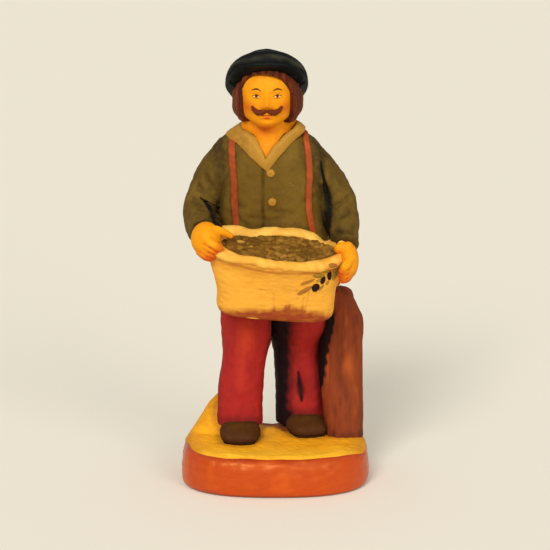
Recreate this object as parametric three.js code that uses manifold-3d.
// A santon: a hand-painted clay figurine of an olive seller, holding a basket of olives.
// Millimetres, +Z up. The origin is the middle of the base's underside, and the figure faces -Y.
// "Right" and "left" are the figure's own, so its right hand is at -X.
// Each piece is shaped a little into its neighbour, and is then cut back to the slip joint between them.
import * as THREE from 'three';
import { mergeVertices } from 'three/addons/utils/BufferGeometryUtils.js';
import Module from 'manifold-3d';

const wasm = await Module();
wasm.setup();

// Driving dimensions
const slipGap = 0.3; // the joint of clay slip between two pieces that were stuck together

const slab = {
  halfWidth: 19.1, halfDepth: 13.1, height: 7.2, edgeRound: 0.8, bulgeHeight: 2.6, taper: 0.7,
  frontSquareness: 2.5, backSquareness: 3.4,
};
const earth = { crown: 1.5, backRise: 0.035, edgeWidth: 2.6, edgeDrop: 0.6, inset: 0.2 };
const buttress = { out: 3.2, y: 7.6, height: 8.0, outerReach: 8.2, innerReach: 4.6, depthReach: 6.4 };

const shoe = { length: 10.6, halfWidth: 3.9, height: 4.1, sink: 0.5 };
const rightFoot = { x: -7.0, toeY: -2.7, toeOut: -3, hemShift: 0 };
const leftFoot = { x: 5.9, toeY: 1.6, toeOut: 9, hemShift: -1.0 };

const trousers = {
  centreX: -0.8, hipY: 4.7, hemClear: 3.4, heelCover: 3.1, inseam: 21.2, rise: 12.8, hemFlare: 0.25,
  hemHalfWidth: 4.65, hemHalfDepth: 4.2, kneeHalfWidth: 4.45, thighHalfWidth: 4.9,
  seatHalfWidth: 6.0, hipHalfWidth: 10.4, hipHalfDepth: 5.7,
};
const belt = { height: 2.6, thickness: 0.8 };

const shirt = {
  length: 26.6, tuck: 0.3, chestHalfWidth: 10.8, chestHalfDepth: 6.0,
  shoulderHalfWidth: 8.4, shoulderHalfDepth: 4.5, centreY: 4.2, neckX: -1.6,
};
const neck = { halfWidth: 3.7, halfDepth: 3.8, length: 5.2, rootDepth: 6.5, chinClear: 1.5 };

// The edge of the open neckline, and the outer edges of the collar's flaps: [x, z] from the neck's middle
const neckline = {
  tip: [-0.45, -4.6],
  rightEdge: [[-1.8, -1.6], [-3.1, 0.5], [-4.0, 2.5]],
  leftEdge: [[2.1, -1.8], [4.7, 0.5], [6.1, 2.5]],
  skinMargin: 0.6,
};
const collar = {
  thickness: 1.15, standHeight: 2.4, standWidth: 1.9, tip: [0.5, -7.7],
  rightEdge: [[-1.0, -7.3], [-3.9, -4.3], [-7.2, -1.1], [-7.9, 1.4]],
  leftEdge: [[1.3, -6.6], [3.4, -4.0], [6.2, -0.9], [8.2, 1.2], [7.2, 2.8]],
};
const button = { radius: 0.95, stand: 1.2, aboveTip: 0.3, aside: 0.25, spacing: 6.1, sink: 0.1 };

// Braces: where each strap lies on the shoulder and at the waist, and the patch where both cross behind
const brace = {
  width: 1.7, thickness: 0.7, patchHalfWidth: 1.9, patchRise: 12.0, tailSpread: 5.6,
  shoulderDrop: 5, chestDrop: 12, backDrop: 3, overrun: 1,
};
const rightBrace = { topX: -8.6, lowX: -8.0 };
const leftBrace = { topX: 6.2, lowX: 8.0 };

const head = { halfWidth: 5.75, halfDepth: 5.9, height: 12.9, x: -1.6, y: 2.2 };
const nose = { length: 1.15, halfWidth: 0.95, height: 1.7, tipRise: 4.8 };
const moustache = { halfWidth: 3.1, lift: 0.5, rise: 3.9 };
// One half of the moustache: share of its half width, then the height of its top and of its bottom
const moustacheProfile = [[1, 0.75, 0.55], [0.8, 0.35, -0.35], [0.45, 0.45, -0.95], [0.12, 0.2, -0.6]];
const hairCut = { thickness: 1.05, length: 12.0, napeSet: 1.3, crownRound: 1.8 };
// The opening of the hair over the face, as shares of the head's half width and height
const faceOpening = [
  [-0.6, -0.6], [0.62, -0.6], [0.86, 0.12], [0.9, 0.5], [0.72, 0.72], [0.3, 0.83],
  [-0.15, 0.88], [-0.5, 0.82], [-0.8, 0.68], [-0.9, 0.45], [-0.84, 0.12],
];
const cap = { fullness: 1.4, crownHeight: 7.5, rimDrop: 1.0, tiltBack: 43, setBack: 0.6, belowTop: 5.7 };
const peak = { thickness: 1.1, reach: 1.7, halfAngle: 68, droop: 0.12 };

const basketSize = {
  halfWidth: 12.0, halfDepth: 5.9, wallHeight: 12.8, wall: 1.5, fillDepth: 4.2, footDraw: 0.6,
  flare: 1.4, squareness: 2.8, rimHalfWidth: 1.35, rimHalfHeight: 1.1, rimLift: 0.45,
};
const basketPlace = { x: 0.1, belowWaist: 8.1, pressIn: 3.1, tiltForward: 16, roll: 5 };
const olives = { crown: 0.7, bump: 0.22, edgeDrop: 0.8 };

// Each hand lies past the basket's end, in front of its middle and above its wall.
const rightGrip = { past: 1.7, forward: 0.7, above: 2.0, thumbReach: 4.9 };
const leftGrip = { past: -0.3, forward: 2.3, above: 0.1, thumbReach: 2.7 };
const hand = {
  palmHalfWidth: 3.3, palmHalfDepth: 3.7, palmHalfHeight: 3.9, turn: 0.25,
  fingerRadius: 1.15, thumbRadius: 1.25,
};
// Finger joints from the palm's middle, as [inwards, back, up], and the step from one finger to the next
const fingerJoints = [
  { first: [-0.5, -2.5, 0.2], step: [-0.3, 0.5, -0.7] },
  { first: [1.4, -3.1, -0.8], step: [-0.45, 0.45, -0.75] },
  { first: [2.9, -2.9, -1.9], step: [-0.75, 0.4, -0.55] },
];

const sleeve = { shoulderRadius: 3.95, elbowRadius: 3.8, cuffRadius: 3.3, shoulderDrop: 4.5, inset: 1.6 };
const cuff = { back: 1.9, rise: 0.9, inwards: 0.1 };
const rightElbow = { past: 4.15, forward: 0.4, drop: 13.1 };
const leftElbow = { past: 2.45, forward: 0.4, drop: 13.4 };
const forearmSag = 1.1;

const stump = { beside: 7.6, y: 5.9, halfWidth: 4.15, halfDepth: 3.7, height: 32.2, sink: 0.6, lean: 0.6 };

// Levels, worked out from the sizes above
const earthLevel = slab.height + earth.crown;
const hemLevel = earthLevel + trousers.hemClear;
const crotchLevel = hemLevel + trousers.inseam;
const waistLevel = crotchLevel + trousers.rise;
const neckLevel = waistLevel + shirt.length;
const chinLevel = neckLevel + neck.chinClear;
const headTop = chinLevel + head.height;
const waistHalfWidth = trousers.hipHalfWidth - shirt.tuck;
const waistHalfDepth = trousers.hipHalfDepth - shirt.tuck / 2;
const capRadius = head.halfWidth + hairCut.thickness + cap.fullness;

// A closed skin over rows of points, each row running counter-clockwise about the way the rows advance.
function skin(rows, startPole, endPole) {
  const count = rows[0].length;
  const points = rows.flat();
  const faces = [];
  for (let row = 0; row + 1 < rows.length; row++) {
    for (let k = 0; k < count; k++) {
      const a = row * count + k;
      const b = row * count + ((k + 1) % count);
      faces.push(a, b, b + count, a, b + count, a + count);
    }
  }
  const start = points.push(startPole) - 1;
  const end = points.push(endPole) - 1;
  const last = (rows.length - 1) * count;
  for (let k = 0; k < count; k++) {
    const next = (k + 1) % count;
    faces.push(start, next, k, end, last + k, last + next);
  }
  const geometry = new THREE.BufferGeometry().setFromPoints(points);
  return geometry.setIndex(faces);
}

// A point of a rounded outline at an angle: squareness 2 is an ellipse, and more is boxier.
function outlinePoint(angle, halfWidth, halfDepth, squareness) {
  const c = Math.cos(angle);
  const s = Math.sin(angle);
  const power = 2 / squareness;
  return [
    Math.sign(c) * Math.abs(c) ** power * halfWidth,
    Math.sign(s) * Math.abs(s) ** power * halfDepth,
  ];
}

// A body through stations [x, y, z, halfWidth, halfDepth, squareness]. Its rings lie level, or square to
// the path when limb is set, and grow makes the same body larger all round.
function loft(stations, options, grow = 0) {
  const { sides = 20, steps = 2, startDome = 0, endDome = 0, limb = false, domeSteps = 3 } = options;
  const vectors = (from) => stations.map((s) => new THREE.Vector3(s[from], s[from + 1], s[from + 2] ?? 2));
  const centres = new THREE.CatmullRomCurve3(vectors(0), false, 'catmullrom', 0.5);
  const sizes = new THREE.CatmullRomCurve3(vectors(3), false, 'catmullrom', 0.5);
  const sideways = new THREE.Vector3(1, 0, 0);
  const rings = (stations.length - 1) * steps;
  const rows = [];
  const ring = (t, shrink, slide) => {
    const along = limb ? centres.getTangent(t) : new THREE.Vector3(0, 0, 1);
    const right = sideways.clone().addScaledVector(along, -sideways.dot(along)).normalize();
    const forward = along.clone().cross(right);
    const centre = centres.getPoint(t).addScaledVector(along, slide);
    const size = sizes.getPoint(t);
    if (shrink === 0) return centre;
    return Array.from({ length: sides }, (_, k) => {
      const angle = (2 * Math.PI * k) / sides;
      const [px, py] = outlinePoint(angle, size.x + grow, size.y + grow, size.z);
      return centre.clone().addScaledVector(right, px * shrink).addScaledVector(forward, py * shrink);
    });
  };
  for (let k = domeSteps; k > 0 && startDome; k--) {
    const turn = (Math.PI / 2) * (k / (domeSteps + 1));
    rows.push(ring(0, Math.cos(turn), -Math.sin(turn) * (startDome + grow)));
  }
  for (let k = 0; k <= rings; k++) {
    const flatEnd = (k === 0 && !startDome ? -grow : 0) + (k === rings && !endDome ? grow : 0);
    rows.push(ring(k / rings, 1, flatEnd));
  }
  for (let k = 1; k <= domeSteps && endDome; k++) {
    const turn = (Math.PI / 2) * (k / (domeSteps + 1));
    rows.push(ring(1, Math.cos(turn), Math.sin(turn) * (endDome + grow)));
  }
  return skin(rows, ring(0, 0, -(startDome + grow)), ring(1, 0, endDome + grow));
}

// A prism with an outline drawn in the front view, as [x, z] points, running from one depth to another.
function prism(outline, yFrom, yTo) {
  const shape = new THREE.Shape(outline.map(([x, z]) => new THREE.Vector2(x, z)));
  const geometry = new THREE.ExtrudeGeometry(shape, { depth: yTo - yFrom, bevelEnabled: false });
  return geometry.rotateX(Math.PI / 2).translate(0, yTo, 0);
}

// The outline of a strap of one width along a smooth line of [x, z] points.
function strapOutline(line, width) {
  const curve = new THREE.SplineCurve(line.map(([x, z]) => new THREE.Vector2(x, z)));
  const spans = 4 * (line.length - 1);
  const edge = (side) => Array.from({ length: spans + 1 }, (_, k) => {
    const point = curve.getPoint(k / spans);
    const along = curve.getTangent(k / spans);
    return [point.x - side * along.y * (width / 2), point.y + side * along.x * (width / 2)];
  });
  return [...edge(-1), ...edge(1).reverse()];
}

// Solids and cuts
function solid(geometry) {
  const bare = new THREE.BufferGeometry().setAttribute('position', geometry.getAttribute('position'));
  if (geometry.index) bare.setIndex(geometry.index);
  const merged = mergeVertices(bare, 1e-4);
  return new wasm.Manifold(new wasm.Mesh({
    numProp: 3,
    vertProperties: new Float32Array(merged.attributes.position.array),
    triVerts: new Uint32Array(merged.index.array),
  }));
}

function join(...solids) {
  return solids.reduce((whole, next) => whole.add(next));
}

function cut(piece, ...cutters) {
  return cutters.reduce((left, cutter) => left.subtract(cutter), piece);
}

function boxSolid(xFrom, xTo, yFrom, yTo, zFrom, zTo) {
  const box = new THREE.BoxGeometry(xTo - xFrom, yTo - yFrom, zTo - zFrom);
  return solid(box.translate((xFrom + xTo) / 2, (yFrom + yTo) / 2, (zFrom + zTo) / 2));
}

const wide = 60; // further than the figure reaches on any side
const paint = (color, roughness) => new THREE.MeshStandardMaterial({ color, roughness, metalness: 0 });
const santon = new THREE.Group();

// Adds a solid to the figurine as a named mesh.
function place(name, made, material) {
  const mesh = made.simplify(0.01).getMesh();
  const geometry = new THREE.BufferGeometry();
  geometry.setAttribute('position', new THREE.BufferAttribute(mesh.vertProperties.slice(), 3));
  geometry.setIndex(new THREE.BufferAttribute(mesh.triVerts.slice(), 1));
  geometry.computeVertexNormals();
  const piece = new THREE.Mesh(geometry, material);
  piece.name = name;
  santon.add(piece);
}

// The slab of the base, which bulges low down and draws in to the earth on top
const slabSides = 40;
function slabRing(z, inset) {
  return Array.from({ length: slabSides }, (_, k) => {
    const angle = (2 * Math.PI * k) / slabSides;
    const squareness = Math.sin(angle) < 0 ? slab.frontSquareness : slab.backSquareness;
    const [x, y] = outlinePoint(angle, slab.halfWidth - inset, slab.halfDepth - inset, squareness);
    return new THREE.Vector3(x, y, z);
  });
}

function slabForm() {
  const { height, edgeRound, bulgeHeight, taper } = slab;
  const rows = [
    slabRing(0, edgeRound), slabRing(edgeRound * 0.4, edgeRound * 0.35), slabRing(bulgeHeight, 0),
    slabRing((bulgeHeight + height) / 2, taper * 0.35), slabRing(height, taper),
  ];
  return skin(rows, new THREE.Vector3(0, 0, 0), new THREE.Vector3(0, 0, height));
}

// The height of the earth at a place, with the lump behind the right leg
function earthHeight(x, y) {
  const middle = rightFoot.x - buttress.out;
  const reachX = x < middle ? buttress.outerReach : buttress.innerReach;
  const away = Math.hypot((x - middle) / reachX, (y - buttress.y) / buttress.depthReach);
  const near = Math.max(0, 1 - away);
  return earthLevel + earth.backRise * y + buttress.height * near * near * (3 - 2 * near);
}

function earthForm(grow = 0) {
  const edge = slab.taper + earth.inset;
  const rows = [slabRing(slab.height + slipGap, edge), slabRing(slab.height + slipGap + 0.2, edge - 0.05)];
  const shares = [0.98, 0.92, 0.84, 0.72, 0.58, 0.4, 0.2];
  for (const share of shares) {
    const fromEdge = (1 - share) * slab.halfWidth;
    const drop = earth.edgeDrop * Math.max(0, 1 - fromEdge / earth.edgeWidth) ** 2;
    rows.push(slabRing(0, edge).map((p) => {
      const x = p.x * share;
      const y = p.y * share;
      return new THREE.Vector3(x, y, earthHeight(x, y) - drop + grow);
    }));
  }
  const middle = new THREE.Vector3(0, 0, earthHeight(0, 0) + grow);
  return solid(skin(rows, new THREE.Vector3(0, 0, slab.height + slipGap), middle));
}

// Shoes, drawn from heel to toe and then turned out
function shoeForm(foot, grow = 0) {
  const { length, halfWidth, height, sink } = shoe;
  const middle = height * 0.45;
  const stations = [
    [0, length * 0.42, middle, halfWidth * 0.68, height * 0.46, 2.3],
    [0, length * 0.1, middle + 0.2, halfWidth * 0.82, height * 0.56, 2.2],
    [0, -length * 0.22, middle, halfWidth, height * 0.5, 2.3],
    [0, -length * 0.4, middle - 0.25, halfWidth * 0.82, height * 0.4, 2.3],
  ];
  const options = { limb: true, sides: 16, startDome: 0.9, endDome: 1.2, steps: 2 };
  const y = foot.toeY + length / 2;
  const level = earthLevel + earth.backRise * y - sink;
  const form = loft(stations, options, grow).rotateZ(THREE.MathUtils.degToRad(foot.toeOut));
  return solid(form.translate(foot.x, y, level));
}

// A trouser leg runs from its hem to the waist. Above the crotch both legs meet at the middle seam.
function legForm(side, grow = 0) {
  const foot = side < 0 ? rightFoot : leftFoot;
  const { centreX, hipY, inseam, rise, hemFlare, heelCover, seatHalfWidth } = trousers;
  const { hemHalfWidth, hemHalfDepth, kneeHalfWidth, thighHalfWidth, hipHalfWidth, hipHalfDepth } = trousers;
  const legY = foot.toeY + shoe.length - heelCover;
  const hem = hemLevel + (legY - hipY) * 0.2;
  const hemX = foot.x + foot.hemShift;
  const thighX = centreX + side * thighHalfWidth;
  const hipX = centreX + side * (hipHalfWidth - seatHalfWidth);
  const kneeY = legY * 0.75 + hipY * 0.25;
  const stations = [
    [hemX, legY, hem, hemHalfWidth + hemFlare, hemHalfDepth, 2.3],
    [hemX, legY, hem + inseam * 0.3, hemHalfWidth, hemHalfDepth, 2.2],
    [(hemX + thighX) / 2, kneeY, hem + inseam * 0.65, kneeHalfWidth, hemHalfDepth, 2.1],
    [thighX, (legY + hipY) / 2, crotchLevel, thighHalfWidth, hipHalfDepth * 0.9, 2.1],
    [hipX, hipY, crotchLevel + rise * 0.45, seatHalfWidth, hipHalfDepth, 2.1],
    [hipX, hipY, waistLevel, seatHalfWidth - shirt.tuck, hipHalfDepth, 2.2],
  ];
  return solid(loft(stations, { sides: 18, steps: 2 }, grow));
}

function trouserLeg(side) {
  const seam = trousers.centreX;
  const across = side < 0 ? [seam - slipGap / 2, wide] : [-wide, seam + slipGap / 2];
  const foot = side < 0 ? rightFoot : leftFoot;
  return cut(
    legForm(side), boxSolid(...across, -wide, wide, crotchLevel * 0.5, 2 * wide),
    shoeForm(foot, slipGap), earthForm(slipGap),
  );
}

// The hips at the waistband, made wider all along by spread
function hipsForm(spread, below, above, grow = 0) {
  const { centreX, hipY, hipHalfWidth, hipHalfDepth } = trousers;
  const ring = (z) => [centreX * 0.35, hipY, z, hipHalfWidth + spread, hipHalfDepth + spread, 2.3];
  return solid(loft([ring(waistLevel - below), ring(waistLevel + above)], { sides: 28, steps: 1 }, grow));
}

function beltForm(grow = 0) {
  return hipsForm(belt.thickness, belt.height * 0.6, belt.height * 0.4, grow);
}

// The shirt, from the waist to the root of the neck
function shirtForm(grow = 0) {
  const { length, chestHalfWidth, chestHalfDepth, shoulderHalfWidth, shoulderHalfDepth } = shirt;
  const { centreY, neckX } = shirt;
  const z = (share) => waistLevel + slipGap + length * share;
  const stations = [
    [0.0, centreY + 0.3, z(0), waistHalfWidth, waistHalfDepth, 2.4],
    [0.0, centreY, z(0.2), waistHalfWidth, waistHalfDepth + 0.2, 2.4],
    [neckX * 0.25, centreY, z(0.42), waistHalfWidth + 0.2, chestHalfDepth, 2.3],
    [neckX * 0.55, centreY, z(0.64), chestHalfWidth, chestHalfDepth, 2.3],
    [neckX * 0.75, centreY + 0.1, z(0.82), chestHalfWidth - 0.3, chestHalfDepth - 0.5, 2.3],
    [neckX, centreY + 0.2, z(0.94), shoulderHalfWidth, shoulderHalfDepth, 2.1],
    [neckX, centreY + 0.1, z(1), shoulderHalfWidth * 0.62, shoulderHalfDepth * 0.9, 2.0],
  ];
  return solid(loft(stations, { sides: 24, steps: 2, endDome: 0.8, domeSteps: 1 }, grow));
}

// The open neckline as seen from the front, made wider all along by spread
function necklineOutline(spread = 0) {
  const { tip, rightEdge, leftEdge } = neckline;
  const above = neck.length + neck.chinClear;
  const place = ([x, z], side) => [head.x + x + side * spread, neckLevel + z];
  const left = leftEdge.map((point) => place(point, 1));
  const right = rightEdge.map((point) => place(point, -1));
  const top = [[left.at(-1)[0], neckLevel + above], [right.at(-1)[0], neckLevel + above]];
  const lowest = [head.x + tip[0], neckLevel + tip[1] - spread * 1.6];
  return [lowest, ...left, ...top, ...right.reverse()];
}

function neckForm(grow = 0) {
  const { halfWidth, halfDepth, length, rootDepth } = neck;
  const y = shirt.centreY;
  const stations = [
    [head.x, y, neckLevel - rootDepth, halfWidth, halfDepth, 2],
    [head.x, y - 0.2, neckLevel, halfWidth, halfDepth, 2],
    [head.x, y - 0.6, neckLevel + length, halfWidth * 1.05, halfDepth, 2],
  ];
  return solid(loft(stations, { sides: 16, steps: 1 }, grow));
}

// The skin seen in the open neckline, at the shirt's own surface
function chestForm(grow = 0) {
  const opening = solid(prism(necklineOutline(neckline.skinMargin + grow), -wide, shirt.centreY));
  return shirtForm(grow ? slipGap + 1 : -0.25).intersect(opening);
}

function headForm(grow = 0) {
  const { halfWidth, halfDepth, height, x, y } = head;
  const z = (share) => chinLevel + height * share;
  const stations = [
    [x, y - 2.2, z(0.03), halfWidth * 0.42, halfDepth * 0.42, 2],
    [x, y - 1.0, z(0.15), halfWidth * 0.8, halfDepth * 0.74, 2.1],
    [x, y - 0.2, z(0.36), halfWidth * 0.97, halfDepth * 0.96, 2.1],
    [x, y, z(0.6), halfWidth, halfDepth, 2.1],
    [x, y + 0.4, z(0.82), halfWidth * 0.86, halfDepth * 0.88, 2],
    [x, y + 0.5, z(0.94), halfWidth * 0.55, halfDepth * 0.56, 2],
  ];
  const options = { sides: 22, steps: 2, startDome: 0.5, endDome: height * 0.06, domeSteps: 1 };
  return solid(loft(stations, options, grow));
}

function noseForm(grow = 0) {
  const tip = chinLevel + nose.tipRise;
  const bridge = tip + nose.height;
  const front = head.y - head.halfDepth;
  const stations = [
    [head.x, front + 1.0, bridge, nose.halfWidth * 0.6, 0.8, 2],
    [head.x, front + 0.2, (bridge + tip) / 2, nose.halfWidth * 0.75, 0.9, 2],
    [head.x, front - nose.length * 0.45, tip, nose.halfWidth, 0.85, 2],
  ];
  const options = { sides: 10, steps: 2, startDome: 0.4, endDome: 0.5, limb: true, domeSteps: 1 };
  return solid(loft(stations, options, grow));
}

// Hair cut to the jaw, open over the face, with the parting to the figure's right
function hairForm(grow = 0) {
  const { halfWidth, halfDepth, height, x, y } = head;
  const { thickness, length, napeSet, crownRound } = hairCut;
  const z = (share) => chinLevel + height * share;
  const ring = (back, level, wide, deep, squareness) => [
    x, y + back, level, halfWidth * wide + thickness, halfDepth * deep + thickness, squareness,
  ];
  const stations = [
    ring(napeSet, headTop - length, 0.82, 0.72, 2.3), ring(napeSet * 0.8, z(0.2), 0.97, 0.86, 2.2),
    ring(0.5, z(0.42), 1, 0.97, 2.1), ring(0.3, z(0.66), 1, 0.98, 2.1), ring(0.5, z(0.9), 0.76, 0.78, 2),
  ];
  return solid(loft(stations, { sides: 22, steps: 2, endDome: crownRound, domeSteps: 2 }, grow));
}

function faceWindow() {
  const { x, y, halfWidth, height } = head;
  const outline = faceOpening.map(([across, up]) => [x + halfWidth * across, chinLevel + height * up]);
  return solid(prism(outline, -wide, y - 0.4));
}

// The cap is pushed back on the head. Its own frame has +Z through the crown.
const capFrame = new THREE.Object3D();
capFrame.position.set(head.x, head.y + cap.setBack, headTop - cap.belowTop);
capFrame.rotation.x = -THREE.MathUtils.degToRad(cap.tiltBack);
capFrame.updateMatrix();

function capForm(grow = 0) {
  const { crownHeight, rimDrop } = cap;
  const ring = (z, share) => [0, 0, z, capRadius * share, capRadius * share * 0.98, 2];
  const stations = [
    ring(-rimDrop, 0.84), ring(0, 0.98), ring(crownHeight * 0.3, 1), ring(crownHeight * 0.62, 0.87),
    ring(crownHeight * 0.84, 0.6),
  ];
  const options = { sides: 26, steps: 2, endDome: crownHeight * 0.16, domeSteps: 1 };
  return solid(loft(stations, options, grow).applyMatrix4(capFrame.matrix));
}

// The peak is a crescent under the front of the crown, and droops a little beyond it.
function peakForm() {
  const root = capRadius * 0.93;
  const half = THREE.MathUtils.degToRad(peak.halfAngle);
  const front = -Math.PI / 2;
  const shape = new THREE.Shape();
  const spans = 14;
  for (let k = 0; k <= spans; k++) {
    const turn = -half + (2 * half * k) / spans;
    const fullness = Math.max(0, Math.cos((turn / half) * (Math.PI / 2))) ** 0.6;
    const radius = root + (capRadius + peak.reach - root) * fullness;
    const point = [Math.cos(front + turn) * radius, Math.sin(front + turn) * radius];
    if (k === 0) shape.moveTo(...point);
    else shape.lineTo(...point);
  }
  shape.absarc(0, 0, head.halfWidth * 0.88, front + half, front - half, true);
  const options = { depth: peak.thickness, bevelEnabled: false, curveSegments: 10 };
  const form = new THREE.ExtrudeGeometry(shape, options).translate(0, 0, -peak.thickness / 2);
  const vertices = form.attributes.position;
  for (let k = 0; k < vertices.count; k++) {
    const out = Math.max(0, -vertices.getY(k) - root);
    vertices.setZ(k, vertices.getZ(k) - out * out * peak.droop);
  }
  return solid(form.applyMatrix4(capFrame.matrix));
}

// The basket's own frame has its origin in the middle of its bottom.
const stomachY = shirt.centreY - waistHalfDepth;
const basketY = stomachY - (basketSize.halfDepth - basketPlace.pressIn);
const basketFrame = new THREE.Object3D();
basketFrame.position.set(basketPlace.x, basketY, waistLevel - basketPlace.belowWaist);
basketFrame.rotation.x = THREE.MathUtils.degToRad(basketPlace.tiltForward);
basketFrame.rotation.y = THREE.MathUtils.degToRad(basketPlace.roll);
basketFrame.updateMatrix();

// A level ring of the basket, drawn in by a wall's thickness where it bounds the hollow
function basketRing(z, flareShare, drawIn = 0) {
  const { halfWidth, halfDepth, flare, squareness } = basketSize;
  const wide = halfWidth + flare * flareShare - drawIn;
  const deep = halfDepth + flare * flareShare * 0.6 - drawIn;
  return [0, 0, z, wide, deep, squareness];
}

function basketForm(grow = 0) {
  const { wallHeight, footDraw } = basketSize;
  const stations = [
    basketRing(0.5, 0, footDraw), basketRing(wallHeight * 0.2, 0), basketRing(wallHeight * 0.55, 0),
    basketRing(wallHeight * 0.8, 0.35), basketRing(wallHeight, 1),
  ];
  const form = loft(stations, { sides: 32, steps: 1, startDome: 0.5, domeSteps: 1 }, grow);
  return solid(form.applyMatrix4(basketFrame.matrix));
}

function hollowForm(drawIn = 0) {
  const { wallHeight, wall, fillDepth } = basketSize;
  const narrow = wall + drawIn;
  const stations = [
    basketRing(wallHeight - fillDepth + drawIn, 0, narrow), basketRing(wallHeight, 0.7, narrow),
    basketRing(wallHeight + fillDepth, 1, narrow),
  ];
  return solid(loft(stations, { sides: 32, steps: 1 }).applyMatrix4(basketFrame.matrix));
}

// The rolled rim is a closed ring of clay along the top of the wall.
function rimForm(grow = 0) {
  const { wallHeight, wall, rimHalfWidth, rimHalfHeight, rimLift, squareness } = basketSize;
  const [, , level, a, b] = basketRing(wallHeight + rimLift, 1, wall * 0.5);
  const around = 32;
  const section = 8;
  const points = [];
  const faces = [];
  for (let k = 0; k < around; k++) {
    const angle = (2 * Math.PI * k) / around;
    const [x, y] = outlinePoint(angle, a, b, squareness);
    const outward = new THREE.Vector2(x / (a * a), y / (b * b)).normalize();
    for (let j = 0; j < section; j++) {
      const turn = (2 * Math.PI * j) / section;
      const out = Math.cos(turn) * (rimHalfWidth + grow);
      const up = level + Math.sin(turn) * (rimHalfHeight + grow);
      points.push(new THREE.Vector3(x + outward.x * out, y + outward.y * out, up));
      const here = k * section + j;
      const above = k * section + ((j + 1) % section);
      const next = ((k + 1) % around) * section + j;
      const nextAbove = ((k + 1) % around) * section + ((j + 1) % section);
      faces.push(here, next, nextAbove, here, nextAbove, above);
    }
  }
  const form = new THREE.BufferGeometry().setFromPoints(points).setIndex(faces);
  return solid(form.applyMatrix4(basketFrame.matrix));
}

// The olives are one bumpy heap, level with the wall's top at its edge.
function oliveForm() {
  const { wallHeight, wall, fillDepth, squareness } = basketSize;
  const [, , level, a, b] = basketRing(wallHeight, 0.7, wall + slipGap);
  const floor = level - fillDepth + slipGap;
  const sides = 30;
  const ring = (share, height) => Array.from({ length: sides }, (_, k) => {
    const [x, y] = outlinePoint((2 * Math.PI * k) / sides, a * share, b * share, squareness);
    const bumps = olives.bump * Math.sin(x * 2.3 + 0.7 * y) * Math.cos(y * 2.6 - 0.5 * x);
    const crown = olives.crown * (1 - share * share);
    return new THREE.Vector3(x, y, height ?? level + crown + bumps);
  });
  const heap = [0.96, 0.8, 0.62, 0.42, 0.21].map((share) => ring(share));
  const rows = [ring(0.84, floor), ring(0.97, level - olives.edgeDrop), ...heap];
  const middle = (height) => new THREE.Vector3(0, 0, height);
  return solid(skin(rows, middle(floor), middle(level + olives.crown)).applyMatrix4(basketFrame.matrix));
}

// Arms run from the shoulder over the elbow to the grip on the basket's end.
function gripPoint(side) {
  const grip = side < 0 ? rightGrip : leftGrip;
  const [, , level, end] = basketRing(basketSize.wallHeight, 1);
  const point = new THREE.Vector3(side * (end + grip.past), -grip.forward, level + grip.above);
  return point.applyMatrix4(basketFrame.matrix);
}

function sleeveForm(side, grow = 0) {
  const elbow = side < 0 ? rightElbow : leftElbow;
  const { shoulderRadius, elbowRadius, cuffRadius, shoulderDrop, inset } = sleeve;
  const y = shirt.centreY;
  const top = neckLevel - shoulderDrop;
  const shoulderX = shirt.neckX + side * (shirt.shoulderHalfWidth - inset);
  const elbowX = side * (shirt.chestHalfWidth + elbow.past);
  const low = top - elbow.drop * 0.88;
  const end = gripPoint(side).add(new THREE.Vector3(-side * cuff.inwards, cuff.back, cuff.rise));
  const elbowY = y - elbow.forward;
  const forearm = [(elbowX + end.x) / 2, (elbowY + end.y) / 2 - 1.0, (low + end.z) / 2 - forearmSag];
  const forearmRadius = elbowRadius * 0.6 + cuffRadius * 0.4;
  const stations = [
    [shoulderX, y - 0.2, top, shoulderRadius, shoulderRadius * 0.95, 2],
    [shoulderX * 0.45 + elbowX * 0.55, y + 0.2, top - elbow.drop * 0.26, shoulderRadius, shoulderRadius, 2],
    [elbowX - side * 0.7, elbowY + 0.5, top - elbow.drop * 0.6, elbowRadius, elbowRadius, 2],
    [elbowX, elbowY - 1.0, low, elbowRadius, elbowRadius, 2],
    [...forearm, forearmRadius, forearmRadius, 2],
    [end.x, end.y, end.z, cuffRadius, cuffRadius, 2],
  ];
  const startDome = shoulderRadius * 0.55;
  return solid(loft(stations, { sides: 16, steps: 2, limb: true, startDome, domeSteps: 2 }, grow));
}

// A hand closed on the basket's end, thumb along the rim and fingers curled in front of it
function handForm(side, grow = 0) {
  const grip = side < 0 ? rightGrip : leftGrip;
  const centre = gripPoint(side);
  const { palmHalfWidth, palmHalfDepth, palmHalfHeight, turn, fingerRadius, thumbRadius } = hand;
  const at = ([inwards, back, up]) => [centre.x - side * inwards, centre.y + back, centre.z + up];
  const finger = (joints, radius) => {
    const stations = joints.map((joint, k) => {
      const size = k === joints.length - 1 ? radius * 0.86 : radius;
      return [...at(joint), size, size, 2];
    });
    const ends = { startDome: radius * 0.6, endDome: radius * 0.8, domeSteps: 1 };
    return solid(loft(stations, { sides: 8, steps: 1, limb: true, ...ends }, grow));
  };
  const palm = new THREE.SphereGeometry(1, 16, 10);
  palm.scale(palmHalfWidth + grow, palmHalfDepth + grow, palmHalfHeight + grow);
  palm.rotateY(side * turn).translate(...at([0, 0, 0]));
  const thumb = finger([[0.2, -0.6, 2.2], [2.6, -0.6, 1.9], [grip.thumbReach, 0.2, 0.5]], thumbRadius);
  const fingers = [0, 1, 2, 3].map((k) => finger(
    fingerJoints.map(({ first, step }) => first.map((value, axis) => value + k * step[axis])), fingerRadius,
  ));
  return join(solid(palm), thumb, ...fingers);
}

// A strap of the braces goes down the front, over the shoulder and down the back to the patch.
const patch = { x: shirt.neckX * 0.5, z: waistLevel + brace.patchRise };
const aboveShoulder = neckLevel + brace.backDrop;
const belowWaist = waistLevel - brace.overrun;

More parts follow.
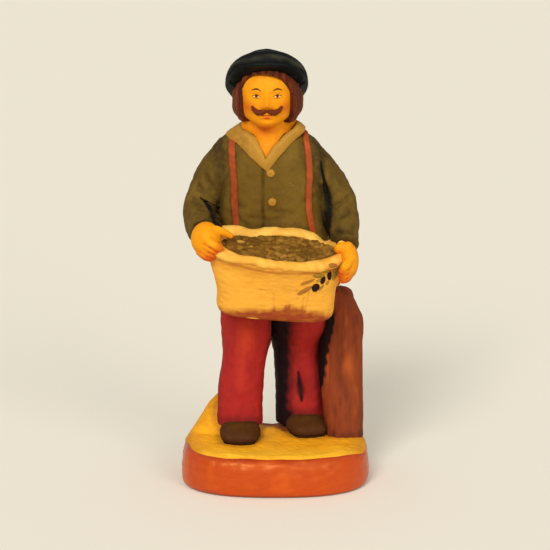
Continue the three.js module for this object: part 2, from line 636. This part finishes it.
function braceFrontLine({ topX, lowX }) {
  const shoulder = neckLevel - brace.shoulderDrop;
  const chest = neckLevel - brace.chestDrop;
  return [[topX, aboveShoulder], [topX, shoulder], [(topX + lowX) / 2, chest], [lowX, belowWaist]];
}

function braceBackLine({ topX }) {
  return [[topX, aboveShoulder], [topX, neckLevel - brace.backDrop], [patch.x, patch.z]];
}

function tailLine(side) {
  return [[patch.x, patch.z], [patch.x + side * brace.tailSpread, belowWaist]];
}

// A thin strip of clay that lies on the shirt inside an outline
function onShirt(outlineSolid, thickness, grow = 0) {
  const outer = shirtForm(slipGap + thickness + grow);
  return outer.intersect(outlineSolid).subtract(shirtForm(slipGap - grow));
}

function braceForm(strap, grow = 0) {
  const middle = shirt.centreY + 0.2;
  const width = brace.width + 2 * grow;
  const front = solid(prism(strapOutline(braceFrontLine(strap), width), -wide, middle + 0.1));
  const back = solid(prism(strapOutline(braceBackLine(strap), width), middle, wide));
  return onShirt(join(front, back), brace.thickness, grow);
}

function tailForm(side, grow = 0) {
  const back = solid(prism(strapOutline(tailLine(side), brace.width + 2 * grow), shirt.centreY, wide));
  return onShirt(back, brace.thickness, grow);
}

function patchForm(grow = 0) {
  const across = brace.patchHalfWidth + grow;
  const up = across * 1.25;
  const { x, z } = patch;
  const diamond = [[x - across, z], [x, z - up], [x + across, z], [x, z + up]];
  return onShirt(solid(prism(diamond, shirt.centreY, wide)), brace.thickness + 0.2, grow);
}

// The collar: two flaps that meet above the top button, joined by a stand round the nape
function collarForm() {
  const middle = shirt.centreY;
  const at = ([x, z]) => [head.x + x, neckLevel + z];
  const right = [collar.tip, neckline.tip, ...neckline.rightEdge, ...collar.rightEdge.toReversed()];
  const left = [collar.tip, ...collar.leftEdge, ...neckline.leftEdge.toReversed(), neckline.tip];
  const front = [right, left].map((flap) => solid(prism(flap.map(at), -wide, middle)));
  const flaps = onShirt(join(...front), collar.thickness);
  const stand = (rise, spread) => [
    head.x - 0.3, middle, neckLevel + rise, neck.halfWidth + spread, neck.halfDepth + spread * 0.55, 2,
  ];
  const { standHeight, standWidth } = collar;
  const stations = [
    stand(-standHeight / 2, standWidth * 2), stand(standHeight / 4, standWidth * 1.2),
    stand(standHeight, standWidth * 0.7),
  ];
  const throat = solid(prism(necklineOutline(), -wide, middle - 0.2));
  const ring = cut(solid(loft(stations, { sides: 24, steps: 1 })), throat, shirtForm(slipGap));
  return join(flaps, ring);
}

// Buttons lie down the front, the first one on the collar's tip.
function buttonForm(index, grow = 0) {
  const { radius, stand, aboveTip, aside, spacing, sink } = button;
  const z = neckLevel + collar.tip[1] + aboveTip - index * spacing;
  const x = head.x + collar.tip[0] + aside * (index + 1);
  const dome = new THREE.SphereGeometry(1, 12, 8).scale(radius + grow, stand + grow, radius + grow);
  return solid(dome.translate(x, shirt.centreY - shirt.chestHalfDepth - sink, z));
}

// The moustache is a thin roll of clay under the nose.
function moustacheForm() {
  const z = chinLevel + moustache.rise;
  const edge = (side, row) => moustacheProfile.map((point) => [
    head.x + side * point[0] * moustache.halfWidth, z + point[row],
  ]);
  const outline = [...edge(-1, 2), ...edge(1, 2).reverse(), ...edge(1, 1), ...edge(-1, 1).reverse()];
  const strip = solid(prism(outline, -wide, head.y));
  return headForm(slipGap + moustache.lift).intersect(strip).subtract(headForm(slipGap));
}

// The tree stump that steadies the left leg
function stumpForm(grow = 0) {
  const { beside, y, halfWidth, halfDepth, height, sink, lean } = stump;
  const x = leftFoot.x + beside;
  const foot = earthLevel - sink;
  const stations = [
    [x, y, foot, halfWidth + 0.2, halfDepth, 2.4],
    [x, y, foot + height * 0.15, halfWidth, halfDepth, 2.3],
    [x + 0.2, y, foot + height * 0.5, halfWidth - 0.1, halfDepth, 2.2],
    [x + 0.1, y, foot + height * 0.76, halfWidth - 0.2, halfDepth - 0.1, 2.1],
    [x - lean, y - 0.1, foot + height * 0.9, halfWidth * 0.7, halfDepth * 0.78, 2],
  ];
  const options = { sides: 18, steps: 1, endDome: height * 0.06, domeSteps: 2 };
  return solid(loft(stations, options, grow));
}

// Paints
const terracotta = paint(0xd2542a, 0.42);
const ochre = paint(0xf7a424, 0.75);
const bark = paint(0x93452a, 0.75);
const shoeBrown = paint(0x4a3012, 0.7);
const brick = paint(0xae3228, 0.72);
const olive = paint(0x6e5a28, 0.78);
const skinTone = paint(0xfba827, 0.6);
const straw = paint(0xfbb84a, 0.72);
const oliveFruit = paint(0x4c3a20, 0.5);
const khaki = paint(0xb98f42, 0.75);
const braceRed = paint(0xbe5030, 0.72);
const hairBrown = paint(0x6e2c12, 0.7);
const capBlack = paint(0x16191a, 0.5);

// Pieces, from the ground up. Each is cut back from those that it is stuck to.
const g = slipGap;
const legs = (grow) => join(legForm(-1, grow), legForm(1, grow));

place('base_slab', solid(slabForm()), terracotta);
place('ground', earthForm(), ochre);
const besideStump = [earthForm(g), shoeForm(leftFoot, g), legForm(1, g), basketForm(g)];
place('tree_stump', cut(stumpForm(), ...besideStump), bark);
place('right_shoe', cut(shoeForm(rightFoot), earthForm(g)), shoeBrown);
place('left_shoe', cut(shoeForm(leftFoot), earthForm(g)), shoeBrown);
place('right_trouser_leg', trouserLeg(-1), brick);
place('left_trouser_leg', trouserLeg(1), brick);
const inBelt = hipsForm(-0.5, belt.height, belt.height);
place('waistband', cut(beltForm(), inBelt, legs(g), shirtForm(g), basketForm(g)), brick);

place('shirt_body', cut(shirtForm(), neckForm(g), chestForm(g)), olive);
place('head_and_neck', join(headForm(), neckForm(), noseForm(), chestForm()), skinTone);
const overBraces = shirtForm(brace.thickness + 2 * g);
place('hair', cut(hairForm(), headForm(g), neckForm(g), noseForm(g), faceWindow(), overBraces), hairBrown);
place('cap_crown', cut(capForm(), headForm(g), hairForm(g)), capBlack);
place('cap_peak', cut(peakForm(), headForm(g), hairForm(g), capForm(g)), capBlack);
place('moustache', cut(moustacheForm(), noseForm(g)), hairBrown);

for (const [name, strap] of [['right_brace', rightBrace], ['left_brace', leftBrace]]) {
  place(name, cut(braceForm(strap), patchForm(g), beltForm(g), basketForm(g), rimForm(g)), braceRed);
}
place('brace_patch', patchForm(), braceRed);
for (const [name, side] of [['right_brace_tail', -1], ['left_brace_tail', 1]]) {
  place(name, cut(tailForm(side), patchForm(g), beltForm(g)), braceRed);
}
const straps = join(braceForm(rightBrace, g), braceForm(leftBrace, g));
const besideCollar = [straps, neckForm(g), headForm(g), hairForm(g), buttonForm(0, g)];
place('collar', cut(collarForm(), ...besideCollar), khaki);
place('top_button', cut(buttonForm(0), shirtForm(g)), khaki);
place('lower_button', cut(buttonForm(1), shirtForm(g)), khaki);

const trunk = join(shirtForm(g), legs(g), beltForm(g));
const hands = join(handForm(-1, g), handForm(1, g));
place('basket', cut(basketForm(), hollowForm(), trunk), straw);
place('basket_rim', cut(rimForm(), basketForm(g).subtract(hollowForm(g)), trunk), straw);
place('olive_heap', cut(oliveForm(), rimForm(g), hands, trunk), oliveFruit);

const arounds = join(trunk, straps, collarForm(), basketForm(g), rimForm(g), stumpForm(g));
for (const [name, side] of [['right', -1], ['left', 1]]) {
  place(name + '_sleeve', cut(sleeveForm(side), arounds), olive);
  const held = [sleeveForm(side, g), basketForm(g), rimForm(g)];
  place(name + '_hand', cut(handForm(side), ...held, trunk), skinTone);
}

export default santon;
